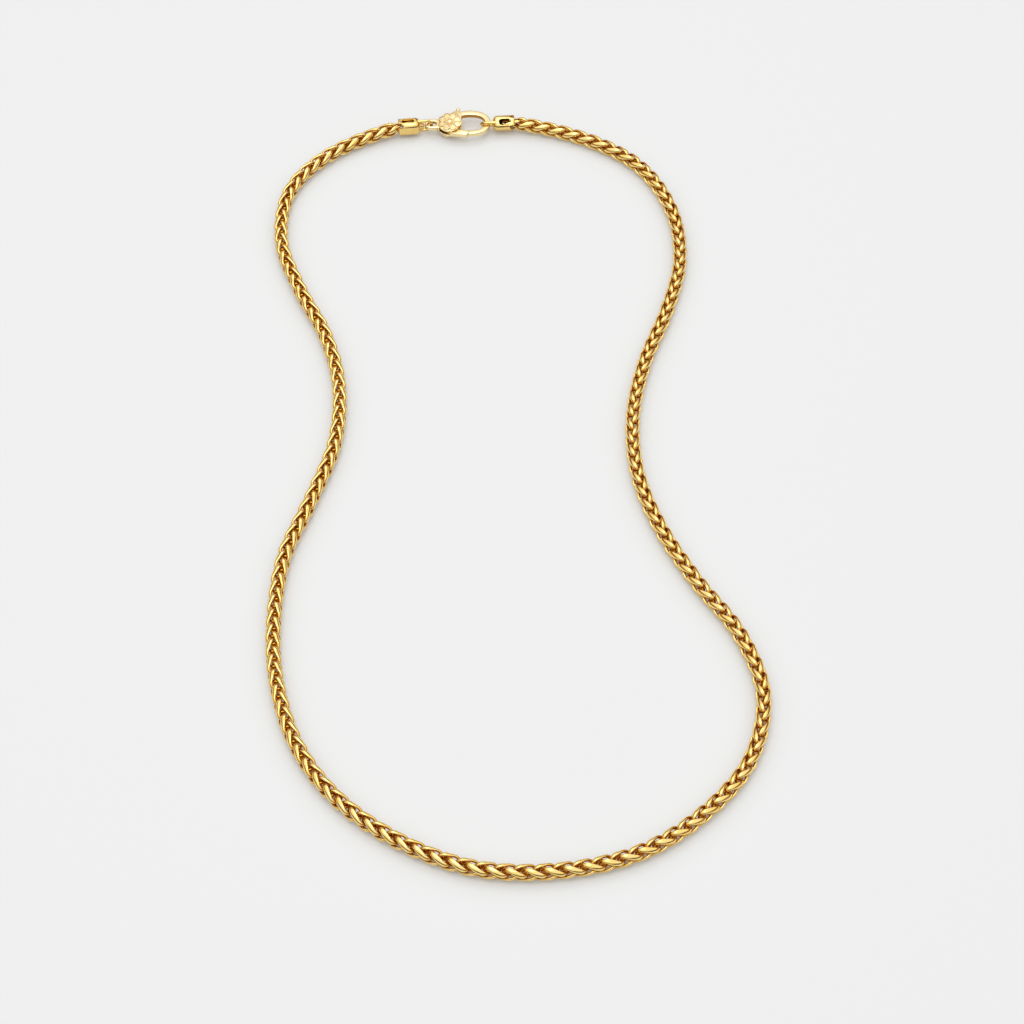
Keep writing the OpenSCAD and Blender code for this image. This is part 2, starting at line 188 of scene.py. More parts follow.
def goldMaterial(name, group, settings):
    material = bpy.data.materials.new(name)
    material.use_nodes = True
    nodes, links = material.node_tree.nodes, material.node_tree.links
    shader = nodes["Principled BSDF"]
    shader.inputs["Metallic"].default_value = 1.0
    marks = nodes.new("ShaderNodeGroup")
    marks.node_tree = group
    marks.inputs["Cloud Scale"].default_value = settings["cloudScale"]
    marks.inputs["Scratch Scale"].default_value = settings["scratchScale"]
    marks.inputs["Streak"].default_value = settings["streak"]
    tint, paintedShade = nodes.new("ShaderNodeMix"), nodes.new("ShaderNodeMix")
    tint.data_type = "RGBA"
    tint.inputs[6].default_value = (*settings["deep"], 1)
    tint.inputs[7].default_value = (*settings["bright"], 1)
    links.new(marks.outputs["Cloud"], tint.inputs[0])
    # painted shade: where the mesh is marked as a groove, hollow or underside, a darker colour is mixed
    # into the gold
    shadeMask = nodes.new("ShaderNodeAttribute")
    shadeMask.attribute_name = "shadeMask"
    paintedShade.data_type = "RGBA"
    paintedShade.inputs[7].default_value = (*settings["paintedShade"], 1)
    links.new(shadeMask.outputs["Fac"], paintedShade.inputs[0])
    links.new(tint.outputs[2], paintedShade.inputs[6])
    links.new(paintedShade.outputs[2], shader.inputs["Base Color"])
    rough = nodes.new("ShaderNodeMapRange")
    rough.inputs["To Min"].default_value = settings["rough"][0]
    rough.inputs["To Max"].default_value = settings["rough"][1]
    links.new(marks.outputs["Cloud"], rough.inputs["Value"])
    links.new(rough.outputs["Result"], shader.inputs["Roughness"])
    bump = nodes.new("ShaderNodeBump")
    bump.inputs["Strength"].default_value = settings["bump"]
    bump.inputs["Distance"].default_value = settings["bumpDepth"]
    links.new(marks.outputs["Scratches"], bump.inputs["Height"])
    links.new(bump.outputs["Normal"], shader.inputs["Normal"])
    return material


# the third colour of each finish is the painted shade colour for grooves, hollows and undersides
chainFinish = {
    "deep": (0.95, 0.62, 0.10), "bright": (0.97, 0.78, 0.38), "paintedShade": (0.60, 0.27, 0.02),
    "rough": (0.09, 0.18), "cloudScale": 500, "scratchScale": 6000, "streak": 1.0,
    "bump": 0.12, "bumpDepth": 0.00001,
}
capFinish = {
    "deep": (0.82, 0.54, 0.15), "bright": (0.94, 0.70, 0.28), "paintedShade": (0.20, 0.08, 0.012),
    "rough": (0.10, 0.20), "cloudScale": 600, "scratchScale": 9000, "streak": 0.3,
    "bump": 0.16, "bumpDepth": 0.00001,
}
claspFinish = {
    "deep": (0.90, 0.70, 0.34), "bright": (0.96, 0.80, 0.48), "paintedShade": (0.44, 0.19, 0.03),
    "rough": (0.16, 0.28), "cloudScale": 700, "scratchScale": 12000, "streak": 0.12,
    "bump": 0.2, "bumpDepth": 0.00001,
}
polishMarks = finishGroup()
chainGold = goldMaterial("chainGold", polishMarks, chainFinish)
capGold = goldMaterial("capGold", polishMarks, capFinish)
claspGold = goldMaterial("claspGold", polishMarks, claspFinish)
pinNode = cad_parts["lever_pin"]
pinNode.data.materials.clear()
pinNode.data.materials.append(claspGold)
print("finishes made")


# Shaping helpers

def onlySelect(piece):
    bpy.ops.object.select_all(action="DESELECT")
    piece.select_set(True)
    bpy.context.view_layer.objects.active = piece


def applyModifier(piece, kind, **values):
    onlySelect(piece)
    modifier = piece.modifiers.new(kind.lower(), kind)
    for key, value in values.items():
        setattr(modifier, key, value)
    bpy.ops.object.modifier_apply(modifier=modifier.name)


def settle(piece):
    # the object goes to the origin, unturned, with its place in its mesh
    onlySelect(piece)
    bpy.ops.object.transform_apply(location=True, rotation=True, scale=True)
    return piece


def put(piece, location, rotation=(0, 0, 0)):
    piece.location, piece.rotation_euler = location, rotation
    return settle(piece)


def turnToX(piece):
    # what was made along Z goes along X
    return put(piece, (0, 0, 0), (0, math.pi / 2, 0))


def smoothUpTo(degrees):
    # the active piece is shaded smooth across edges up to this angle
    bpy.ops.object.shade_smooth_by_angle(angle=math.radians(degrees))


def cylinder(radius, depth, at=(0, 0, 0), sides=72):
    bpy.ops.object.select_all(action="DESELECT")
    bpy.ops.mesh.primitive_cylinder_add(vertices=sides, radius=radius, depth=depth, location=at)
    return settle(bpy.context.object)


def block(low, high):
    bpy.ops.object.select_all(action="DESELECT")
    middle = [(a + b) / 2 for a, b in zip(low, high)]
    bpy.ops.mesh.primitive_cube_add(size=1, location=middle)
    piece = bpy.context.object
    piece.scale = [b - a for a, b in zip(low, high)]
    return settle(piece)


def combine(piece, tool, operation):
    applyModifier(piece, "BOOLEAN", operation=operation, object=tool, solver="EXACT")
    bpy.data.objects.remove(tool, do_unlink=True)
    return piece


def join(name, pieces):
    bpy.ops.object.select_all(action="DESELECT")
    for piece in pieces:
        piece.select_set(True)
    bpy.context.view_layer.objects.active = pieces[0]
    if len(pieces) > 1:
        bpy.ops.object.join()
    joined = bpy.context.object
    joined.name = name
    return joined


def selectVertices(piece, rule):
    # in edit mode: selects the vertices whose place the rule accepts, and what lies between them
    bpy.ops.mesh.select_mode(type="VERT")
    bpy.ops.mesh.select_all(action="DESELECT")
    mesh = bmesh.from_edit_mesh(piece.data)
    for vertex in mesh.verts:
        if rule(vertex.co):
            vertex.select_set(True)
    mesh.select_flush(True)
    bmesh.update_edit_mesh(piece.data)


def selectLongEdges(piece, least):
    # in edit mode: selects the edges that run further than this along X
    bpy.ops.mesh.select_mode(type="EDGE")
    bpy.ops.mesh.select_all(action="DESELECT")
    mesh = bmesh.from_edit_mesh(piece.data)
    for edge in mesh.edges:
        if abs(edge.verts[0].co.x - edge.verts[1].co.x) > least:
            edge.select_set(True)
    bmesh.update_edit_mesh(piece.data)


def selectTop(piece):
    # in edit mode: selects the one many-sided face that looks up
    bpy.ops.mesh.select_mode(type="FACE")
    bpy.ops.mesh.select_all(action="DESELECT")
    mesh = bmesh.from_edit_mesh(piece.data)
    for face in mesh.faces:
        if face.normal.z > 0.9 and len(face.verts) > 8:
            face.select_set(True)
    bmesh.update_edit_mesh(piece.data)


def insetTop(piece, steps):
    # in edit mode: rings inside the top face, each with its width and its rise
    for width, rise in steps:
        selectTop(piece)
        bpy.ops.mesh.inset(thickness=width * mm, depth=0)
        bpy.ops.transform.translate(value=(0, 0, rise * mm))


def stadium(radius, depth, half, at=(0, 0, 0), sides=64):
    # a round whose two halves are moved apart along X
    piece = cylinder(radius, depth, sides=sides)
    bpy.ops.object.mode_set(mode="EDIT")
    for side in (-1, 1):
        selectVertices(piece, lambda co: co.x * side > near)
        bpy.ops.transform.translate(value=(side * half, 0, 0))
    bpy.ops.object.mode_set(mode="OBJECT")
    return put(piece, at)


def keepSide(piece, point, direction):
    # cuts off what lies behind the plane and closes the cut
    onlySelect(piece)
    bpy.ops.object.mode_set(mode="EDIT")
    bpy.ops.mesh.select_all(action="SELECT")
    bpy.ops.mesh.bisect(plane_co=point, plane_no=direction, use_fill=True, clear_inner=True)
    bpy.ops.object.mode_set(mode="OBJECT")
    return piece


def sector(start, stop, radius, depth, at):
    # a slice of a round about a point, from one angle to another less than half a turn on
    piece = cylinder(radius, depth, at, sides=96)
    keepSide(piece, at, (-math.sin(start), math.cos(start), 0))
    return keepSide(piece, at, (math.sin(stop), -math.cos(stop), 0))


def roundEdges(piece, width, segments=2, sharp=35):
    onlySelect(piece)
    bpy.ops.object.mode_set(mode="EDIT")
    bpy.ops.mesh.select_all(action="SELECT")
    bpy.ops.mesh.remove_doubles(threshold=0.002 * mm)
    bpy.ops.mesh.dissolve_limited(angle_limit=math.radians(0.5))
    bpy.ops.object.mode_set(mode="OBJECT")
    applyModifier(piece, "BEVEL", width=width, segments=segments, limit_method="ANGLE",
                  angle_limit=math.radians(sharp), use_clamp_overlap=False, miter_outer="MITER_ARC")
    smoothUpTo(sharp)
    return piece


def markPaintedShade(piece, rule):
    # how deep each vertex lies in a groove or inside, from 0 to 1, for the painted shade in the finish
    values = [rule(vertex.co) for vertex in piece.data.vertices]
    attribute = piece.data.attributes.new("shadeMask", "FLOAT", "POINT")
    attribute.data.foreach_set("value", values)


def fadeIn(start, fade, co):
    # 0 outside this distance from the X axis, and 1 from that much further in
    return min(max((start - math.hypot(co.y, co.z)) / fade, 0), 1)


def splinePoint(a, b, c, d, t):
    # uniform Catmull-Rom between b and c
    return (2 * b + (c - a) * t + (2 * a - 5 * b + 4 * c - d) * t ** 2
            + (3 * b - a - 3 * c + d) * t ** 3) / 2


def makeCurve(name, points, radii, rolls):
    curve = bpy.data.curves.new(name, "CURVE")
    curve.dimensions = "3D"
    curve.twist_mode = "Z_UP"
    curve.use_radius = True
    spline = curve.splines.new("POLY")
    spline.points.add(len(points) - 1)
    for point, at, radius, roll in zip(spline.points, points, radii, rolls):
        point.co = (*at, 1)
        point.radius = radius
        point.tilt = roll
    path = bpy.data.objects.new(name, curve)
    bpy.context.collection.objects.link(path)
    return path


def finishPiece(piece, body, nodeName, material):
    piece.data.materials.clear()
    piece.data.materials.append(material)
    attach(piece, body)
    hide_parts(nodeName)
    return piece


# End caps

capSettings = {
    "length": 5.2 * mm, "flat": 2.0 * mm, "corner": 1.3 * mm,
    "shoulder": 0.5 * mm, "shoulderShare": 0.68,
    "bore": 1.5 * mm, "boreDepth": 4.6 * mm,
    "window": (0.85 * mm, 0.75 * mm),      # radius and half the straight length
    "notch": (0.6 * mm, 0.7 * mm),         # radius and distance of its middle from the mouth
    "ringWire": 0.425 * mm, "ringRadius": 1.4607 * mm, "leg": 1.764 * mm, "root": 1.3 * mm,
    # rounding of the closed end, of the mouth and of the openings, and the least angle rounded
    "body": 0.55 * mm, "lip": 0.24 * mm, "round": 0.08 * mm, "sharp": 38,
    # the solder between the ring's legs: its radius, its tip's share of it, how far it starts inside
    "collar": 1.0 * mm, "collarTip": 0.6, "collarInside": 0.1 * mm,
    "collarRound": 0.2,                    # rounding of the tip as a share of the solder's length
    "fill": (1.5 * mm, 4.4 * mm),          # where the solder inside the left cap starts and ends
    "fillGap": 0.08 * mm,
    "shade": (1.95 * mm, 0.35 * mm),       # distance from the axis where the painted shade inside the bore starts, its depth
    "shadeEnd": 0.3 * mm,                  # the closed end has none from here on
}
capPlaces = {
    "cap_left": {"node": "end_cap_left", "mouth": (-0.02905, 0.11222, axisHeight), "filled": True,
                 "turn": math.radians(-6), "heading": math.radians(6), "collar": 1.35 * mm},
    "cap_right": {"node": "end_cap_right", "mouth": (0.00219, 0.11389, axisHeight), "filled": False,
                  "turn": math.radians(-33), "heading": math.radians(183), "collar": 0.55 * mm},
}


def makeBarrel(s):
    # along X from its mouth
    flat, length = s["flat"], s["length"]
    piece = block((0, -flat, -flat), (length, flat, flat))
    bpy.ops.object.mode_set(mode="EDIT")
    selectLongEdges(piece, length / 2)
    bpy.ops.mesh.bevel(offset=s["corner"], segments=6)
    selectVertices(piece, lambda co: abs(co.x - length) < near)
    bpy.ops.mesh.extrude_region_move(TRANSFORM_OT_translate={"value": (s["shoulder"], 0, 0)})
    bpy.ops.transform.resize(value=(1, s["shoulderShare"], s["shoulderShare"]),
                             center_override=(length, 0, 0))
    selectVertices(piece, lambda co: abs(co.x - length) < near)
    bpy.ops.mesh.bevel(offset=s["body"], segments=4)
    selectVertices(piece, lambda co: co.x < near)
    bpy.ops.mesh.bevel(offset=s["lip"], segments=3)
    bpy.ops.object.mode_set(mode="OBJECT")
    bore = turnToX(cylinder(s["bore"], 2 * s["boreDepth"]))
    combine(piece, bore, "DIFFERENCE")
    radius, half = s["window"]
    combine(piece, stadium(radius, 4 * flat, half, (length / 2, 0, 0)), "DIFFERENCE")
    radius, reach = s["notch"]
    depth = 3 * flat
    for corner in range(4):
        notch = stadium(radius, depth, reach, (0, 0, depth / 2), sides=48)
        turned = (corner + 0.5) * math.pi / 2
        combine(piece, put(notch, (0, 0, 0), (turned, 0, 0)), "DIFFERENCE")
    roundEdges(piece, s["round"], sharp=s["sharp"])
    # painted shade inside the bore, fading in towards the axis, but none at the closed end
    start, fade = s["shade"]
    markPaintedShade(piece, lambda co: 0.0 if co.x > length - s["shadeEnd"] else fadeIn(start, fade, co))
    return piece


def makeCollar(s, length):
    # the shoulder runs on between the ring's legs as a cone with a rounded end
    bottom = s["length"] + s["shoulder"] - s["collarInside"]
    piece = cylinder(s["collar"], length, (0, 0, bottom + length / 2), sides=48)
    bpy.ops.object.mode_set(mode="EDIT")
    selectVertices(piece, lambda co: co.z > bottom + length / 2)
    bpy.ops.transform.resize(value=(s["collarTip"], s["collarTip"], 1), center_override=(0, 0, 0))
    bpy.ops.mesh.bevel(offset=s["collarRound"] * length, segments=3)
    bpy.ops.object.mode_set(mode="OBJECT")
    smoothUpTo(40)
    return turnToX(piece)


def makeFill(s):
    # the solder under the window, round the end of the chain
    start, stop = s["fill"]
    piece = cylinder(s["bore"] - s["fillGap"], stop - start, (0, 0, (start + stop) / 2), sides=64)
    roundEdges(piece, 2 * s["round"])
    return turnToX(piece)


def makeRing(s):
    bpy.ops.object.select_all(action="DESELECT")
    bpy.ops.mesh.primitive_torus_add(major_segments=48, minor_segments=20,
                                     major_radius=s["ringRadius"], minor_radius=s["ringWire"])
    piece = bpy.context.object
    keepSide(piece, (0, 0, 0), (1, 0, 0))
    bpy.ops.object.mode_set(mode="EDIT")
    selectVertices(piece, lambda co: co.x < near)
    bpy.ops.mesh.extrude_region_move(
        TRANSFORM_OT_translate={"value": (-s["leg"] - s["root"], 0, 0)})
    bpy.ops.object.mode_set(mode="OBJECT")
    put(piece, (s["length"] + s["shoulder"] + s["leg"], 0, 0), (math.pi / 2, 0, 0))
    smoothUpTo(40)
    return piece


for name, cap in capPlaces.items():
    parts = [makeBarrel(capSettings), makeCollar(capSettings, cap["collar"]), makeRing(capSettings)]
    if cap["filled"]:
        parts.append(makeFill(capSettings))
    piece = put(join(name, parts), cap["mouth"], (cap["turn"], 0, cap["heading"]))
    finishPiece(piece, "root", cap["node"], capGold)
print("caps made")


# Clasp

claspAt = Vector((-15.2 * mm, 113.1 * mm, axisHeight))
pivot = Vector((0.3, -1.1, 0)) * mm   # of the lever, seen from the body's middle
gateSlope = math.radians(8)
swing = math.radians(20)
tailAngle = math.radians(75)
gateWay = (-gateSlope - math.pi / 2, swing - gateSlope)   # angles that the gate and its neck sweep
through = 4 * mm                      # depth of a tool that cuts through the whole clasp
# how much painted shade the clasp's hollows get: the core between the cheeks, the eye's hole and the
# hook's inner side
insideShade = 0.9
bodySettings = {
    "radius": 3.3 * mm, "cheek": 0.6 * mm, "cheekMiddle": 0.8 * mm, "knuckle": 2.1 * mm,
    "shoulder": 1.6 * mm, "shoulderAt": Vector((1.6, 2.7, 0)) * mm, "jointRadius": 5.45 * mm,
    "slotReach": 3.6 * mm, "slot": 1.0 * mm, "round": 0.12 * mm,
    # the core between the cheeks, and the room in it for the lever's hub, neck and tail
    "core": 3.12 * mm, "coreShoulder": 1.44 * mm, "coreDepth": 1.1 * mm, "coreRound": 0.04 * mm,
    "coreReach": 5.995 * mm, "overlap": 0.01,   # of the open side and the neck's room, in radians
    "hubRoom": 1.4 * mm, "neckRoom": math.radians(3), "tailRoom": math.radians(24),
}
eyeSettings = {
    "rim": 1.8 * mm, "depth": 1.2 * mm, "hole": 0.85 * mm, "holeHalf": 0.25 * mm,
    "holeAt": Vector((-4.8, 0.1, 0)) * mm, "half": 1.1 * mm,
    "at": Vector((-3.95, 0.1, 0)) * mm, "round": 0.36 * mm,
    "wall": (0.348 * mm, 1.02 * mm),   # half height and radius within which the hole's wall has painted shade
}
hookSettings = {
    "width": 1.62 * mm, "depth": 1.3 * mm, "round": 0.3 * mm, "slices": 72, "pastTail": 0.7 * mm,
    # middle of the hook's bar from the body round to the gate, and its width as a share
    "way": [(0.6, 2.8, 1.05), (2.2, 3.56, 1.05), (3.9, 4.09, 1.05), (5.6, 4.25, 1.05),
            (7.3, 4.02, 1.03), (8.7, 3.42, 1.0), (9.75, 2.3, 0.98), (10.2, 0.65, 0.98),
            (9.8, -1.0, 0.97), (8.75, -2.3, 0.96), (7.2, -2.97, 0.94), (5.0, -3.13, 0.93),
            (3.2, -2.9, 0.93)],
}


def gateTool(s, depth):
    # the room that the gate swings through, outside the knuckle
    tool = sector(*gateWay, s["jointRadius"], depth, pivot)
    return combine(tool, cylinder(s["knuckle"], 2 * depth, pivot), "DIFFERENCE")


def makeCheek(s, side):
    up = Vector((0, 0, side * s["cheekMiddle"]))
    piece = cylinder(s["radius"], s["cheek"], up, sides=96)
    combine(piece, cylinder(s["knuckle"], s["cheek"], pivot + up), "UNION")
    combine(piece, cylinder(s["shoulder"], s["cheek"], s["shoulderAt"] + up), "UNION")
    combine(piece, gateTool(s, through), "DIFFERENCE")
    return roundEdges(piece, s["round"], segments=3)


def makeCore(s):
    piece = cylinder(s["core"], s["coreDepth"], sides=96)
    combine(piece, cylinder(s["coreShoulder"], s["coreDepth"], s["shoulderAt"]), "UNION")
    combine(piece, cylinder(s["hubRoom"], through, pivot), "DIFFERENCE")
    tailWay = (tailAngle - s["tailRoom"], tailAngle + swing + s["tailRoom"])
    neckWay = (gateWay[0], gateWay[1] + s["neckRoom"])
    openWay = (-math.pi, gateWay[0] + s["overlap"])   # open all round to the left
    for start, stop in (openWay, neckWay, tailWay):
        combine(piece, sector(start, stop, s["coreReach"], through, pivot), "DIFFERENCE")
    roundEdges(piece, s["coreRound"])
    # painted shade on the whole core, which lies in the gap between the cheeks
    markPaintedShade(piece, lambda co: insideShade)
    return piece


def makeEye(s, body):
    piece = stadium(s["rim"], s["depth"], s["half"], s["at"])
    combine(piece, stadium(s["hole"], through, s["holeHalf"], s["holeAt"]), "DIFFERENCE")
    roundEdges(piece, s["round"], segments=5)
    height, reach = s["wall"]

    def onWall(co):
        along = max(abs(co.x - s["holeAt"].x) - s["holeHalf"], 0)
        return abs(co.z) < height and math.hypot(along, co.y - s["holeAt"].y) < reach

    # painted shade on the wall of the hole
    markPaintedShade(piece, lambda co: insideShade if onWall(co) else 0.0)
    room = sector(-math.pi, gateWay[0], body["slotReach"], body["slot"], pivot)
    return combine(piece, room, "DIFFERENCE")


def makeHook(s, body, steps=12):
    way = [Vector(point) for point in s["way"]]
    points, radii = [], []
    for span in range(len(way) - 3):
        for step in range(steps + (span == len(way) - 4)):
            at = splinePoint(*way[span:span + 4], step / steps)
            points.append(Vector((at.x, at.y, 0)) * mm)
            radii.append(at.z)
    length = sum((b - a).length for a, b in zip(points, points[1:]))
    half, deep = s["width"] / 2, s["depth"] / 2
    piece = block((0, -half, -deep), (length, half, deep))
    bpy.ops.object.mode_set(mode="EDIT")
    selectLongEdges(piece, half)
    bpy.ops.mesh.bevel(offset=s["round"], segments=3)
    selectLongEdges(piece, half)
    bpy.ops.mesh.subdivide(number_cuts=s["slices"])
    bpy.ops.object.mode_set(mode="OBJECT")
    # painted shade on the inner side of the hook's bar, which faces into the hook
    markPaintedShade(piece, lambda co: insideShade if co.y < near - half else 0.0)
    path = makeCurve("hookPath", points, radii, [0] * len(points))
    applyModifier(piece, "CURVE", object=path, deform_axis="POS_X")
    bpy.data.objects.remove(path, do_unlink=True)
    across = Vector((math.sin(tailAngle), -math.cos(tailAngle), 0))
    keepSide(piece, pivot + s["pastTail"] * across, across)
    combine(piece, sector(*gateWay, body["jointRadius"], through, pivot), "DIFFERENCE")
    smoothUpTo(35)
    return piece


rosetteSettings = {
    "petals": 8, "petal": 1.02 * mm, "ring": 2.16 * mm, "base": 2.3 * mm, "tilt": math.radians(5),
    "low": 1.05 * mm, "baseHigh": 1.46 * mm, "high": 1.58 * mm,
    "centre": 0.86 * mm, "centreHigh": 1.78 * mm, "petalRound": 0.07 * mm, "centreRound": 0.1 * mm,
    # painted shade: the grooves have it from this depth down, inside the rims, and the lower parts have
    # some
    "grooveDepth": 0.05 * mm, "petalRim": 0.15 * mm, "centreRim": 0.172 * mm,
    "footShare": 0.3, "footShade": 0.3, "baseShade": 0.2,
    # rings inside the top, each with its width and its rise in millimetres
    "petalRings": ((0.13, 0), (0.05, -0.09), (0.05, 0), (0.05, 0.08), (0.3, 0.02)),
    "centreRings": ((0.14, 0), (0.05, -0.08), (0.04, 0), (0.05, 0.08), (0.15, 0.03)),
}


def ringedRound(radius, low, high, rounding, rings, sides, segments):
    # a round with a rounded rim, a groove inside it and a domed middle
    piece = cylinder(radius, high - low, (0, 0, (low + high) / 2), sides=sides)
    bpy.ops.object.mode_set(mode="EDIT")
    selectVertices(piece, lambda co: co.z > high - near)
    bpy.ops.mesh.bevel(offset=rounding, segments=segments)
    insetTop(piece, rings)
    bpy.ops.object.mode_set(mode="OBJECT")
    return piece


def inGroove(s, co, high, radius):
    return co.z < high - s["grooveDepth"] and math.hypot(co.x, co.y) < radius


def makePetal(s):
    high = s["high"] - s["low"]
    piece = ringedRound(s["petal"], 0, high, s["petalRound"], s["petalRings"], 40, 2)
    groove = s["petal"] - s["petalRim"]
    # painted shade on the petal's lower part and in its groove
    markPaintedShade(piece, lambda co: s["footShade"] if co.z < s["footShare"] * high
               else 1.0 if inGroove(s, co, high, groove) else 0.0)
    return piece


def makeCentre(s):
    high = s["centreHigh"]
    piece = ringedRound(s["centre"], s["low"], high, s["centreRound"], s["centreRings"], 48, 3)
    groove = s["centre"] - s["centreRim"]
    # painted shade on the centre below the petals' top and in its groove
    markPaintedShade(piece, lambda co: 1.0 if co.z < s["high"] or inGroove(s, co, high, groove) else 0.0)
    return piece


def makeRosette(s, side):
    base = cylinder(s["base"], s["baseHigh"] - s["low"], (0, 0, (s["low"] + s["baseHigh"]) / 2))
    # painted shade on the base, under the petals
    markPaintedShade(base, lambda co: s["baseShade"])
    pieces = [base, makeCentre(s)]
    first = makePetal(s)
    for index in range(s["petals"]):
        petal = first.copy()
        petal.data = first.data.copy()
        bpy.context.collection.objects.link(petal)
        angle = (index + 0.5) * 2 * math.pi / s["petals"]
        put(petal, (0, 0, 0), (s["tilt"], 0, 0))
        put(petal, (s["ring"] * math.cos(angle), s["ring"] * math.sin(angle), s["low"]), (0, 0, angle))
        pieces.append(petal)
    bpy.data.objects.remove(first, do_unlink=True)
    rosette = join("rosette", pieces)
    put(rosette, (0, 0, 0), (0 if side > 0 else math.pi, 0, 0))
    smoothUpTo(40)
    return rosette


claspPieces = {
    "clasp_cheeks": [makeCheek(bodySettings, 1), makeCheek(bodySettings, -1), makeCore(bodySettings)],
    "clasp_eye": [makeEye(eyeSettings, bodySettings)],
    "clasp_hook": [makeHook(hookSettings, bodySettings)],
    "clasp_rosettes": [makeRosette(rosetteSettings, 1), makeRosette(rosetteSettings, -1)],
}
for name, parts in claspPieces.items():
    piece = put(join(name, parts), claspAt)
    finishPiece(piece, "root", "clasp_body", claspGold)
print("clasp made")


# Lever, about the pivot

leverSettings = {
    "gate": (0.7 * mm, 2.6 * mm),   # distance of its inner and its outer side from the pivot's line
    "gateDepth": 1.3 * mm, "gateReach": 5.35 * mm, "gateStart": 2.2 * mm, "gateRound": 0.2 * mm,
    "neck": 2.35 * mm, "neckReach": 2.6 * mm, "pinRoom": 0.49 * mm,
    "hub": 1.3 * mm, "hubRound": 0.05 * mm,
    "tail": 7.2 * mm, "tailWidth": 1.0 * mm, "tailRound": 0.1 * mm, "knob": 0.575 * mm,
    # half the thickness between the cheeks, a little less each so that no faces coincide
    "tailHalf": 0.4 * mm, "hubHalf": 0.392 * mm, "neckHalf": 0.38 * mm,
}


def makeLever(s):
    inner, outer = s["gate"]
    deep = s["gateDepth"] / 2
    gate = block((0, -outer, -deep), (2 * s["gateReach"], -inner, deep))
    combine(gate, cylinder(s["gateReach"], through, sides=128), "INTERSECT")
    combine(gate, cylinder(s["gateStart"], through), "DIFFERENCE")
    roundEdges(gate, s["gateRound"], segments=3)
    neck = block((0, -s["neck"], -s["neckHalf"]), (s["gateReach"], 0, s["neckHalf"]))
    combine(neck, cylinder(s["neckReach"], through), "INTERSECT")
    for piece in (gate, neck):
        put(piece, (0, 0, 0), (0, 0, -gateSlope))
    hub = roundEdges(cylinder(s["hub"], 2 * s["hubHalf"]), s["hubRound"])
    half, deep = s["tailWidth"] / 2, s["tailHalf"]
    tail = roundEdges(block((0, -half, -deep), (s["tail"], half, deep)), s["tailRound"], segments=3)
    bpy.ops.object.select_all(action="DESELECT")
    bpy.ops.mesh.primitive_uv_sphere_add(segments=32, ring_count=20, radius=s["knob"],
                                         location=(s["tail"], 0, 0))
    knob = settle(bpy.context.object)
    bpy.ops.object.shade_smooth()
    for piece in (tail, knob):
        put(piece, (0, 0, 0), (0, 0, tailAngle))
    for piece in (neck, hub, tail):
        combine(piece, cylinder(s["pinRoom"], through), "DIFFERENCE")
    return join("gate_lever", [gate, neck, hub, tail, knob])


lever = put(makeLever(leverSettings), claspAt + pivot)
finishPiece(lever, "lever", "clasp_lever", claspGold)
print("lever made")


# The route of the chain: the same points as the solid chain's, in metres

chainSettings = {
    "diameter": 4.0 * mm,
    "neckDiameter": 2.6 * mm,   # of the last links, which the caps hold
    "neckLength": 4.1 * mm,     # they show in the caps' windows
    "neckGap": 0.3 * mm,        # between a cap's mouth and the start of the taper
    "taper": 1.1 * mm,
    "endsStep": 18.0 * mm,      # how far inside the caps the route's ends aim
    # the chain's turn about itself at shares of its length, in degrees
    "roll": ((0, 0), (0.38, 0), (0.44, -6), (0.54, -6), (0.6, 0), (1, 0)),
}
route = [
    (-0.0465, 0.103), (-0.057, 0.089), (-0.0585, 0.071), (-0.053, 0.054), (-0.0455, 0.0375),
    (-0.0415, 0.0205), (-0.042, 0.0025), (-0.047, -0.015), (-0.0525, -0.032), (-0.054, -0.05),
    (-0.0525, -0.0675), (-0.047, -0.085), (-0.037, -0.0995), (-0.0225, -0.1105), (-0.006, -0.117),
    (0.012, -0.1175), (0.0295, -0.113), (0.044, -0.103), (0.055, -0.089), (0.059, -0.0715),
    (0.0545, -0.0545), (0.045, -0.039), (0.037, -0.023), (0.032, -0.006), (0.0315, 0.012),
    (0.035, 0.0295), (0.041, 0.0465), (0.045, 0.064), (0.0435, 0.082), (0.0355, 0.098),
    (0.021, 0.1085),
]


def chainPath(settings, caps, steps=36):
    # middle of the chain from inside one cap to inside the other
    left, right = [Vector(cap["mouth"]) for cap in caps]
    headings = [cap["heading"] for cap in caps]
    intoLeft, intoRight = [Vector((math.cos(turn), math.sin(turn), 0)) for turn in headings]
    step = settings["endsStep"]
    way = [left + step * intoLeft, left]
    way += [Vector((*point, 0)) for point in route]
    way += [right, right + step * intoRight]
    low = settings["diameter"] / 2
    rise = axisHeight - low
    spans = len(way) - 3
    points = []
    for span in range(spans):
        for step in range(steps):
            t = step / steps
            flat = splinePoint(*way[span:span + 4], t)
            lift = (1 - t) ** 2 if span == 0 else t ** 2 if span == spans - 1 else 0
            points.append(Vector((flat.x, flat.y, low + rise * lift)))
    inside = settings["neckLength"]
    return [left + inside * intoLeft] + points + [right, right + inside * intoRight]


def rollAt(share, table):
    # how far the chain is turned about itself at this share of its length
    for (low, a), (high, b) in zip(table, table[1:]):
        if share <= high:
            return math.radians(a + (b - a) * (share - low) / (high - low))
    return math.radians(table[-1][1])


def chainWidths(points, settings):
    # width at each point as a share of the chain's, narrow where it enters the caps, and its roll
    travelled = [0.0]
    for a, b in zip(points, points[1:]):
        travelled.append(travelled[-1] + (b - a).length)
    length = travelled[-1]
    neckShare = settings["neckDiameter"] / settings["diameter"]
    neckEnd = settings["neckLength"] + settings["neckGap"]
    grown = [min(max((min(run, length - run) - neckEnd) / settings["taper"], 0), 1) for run in travelled]
    rolls = [rollAt(run / length, settings["roll"]) for run in travelled]
    return [neckShare + (1 - neckShare) * share for share in grown], rolls, length


# The links

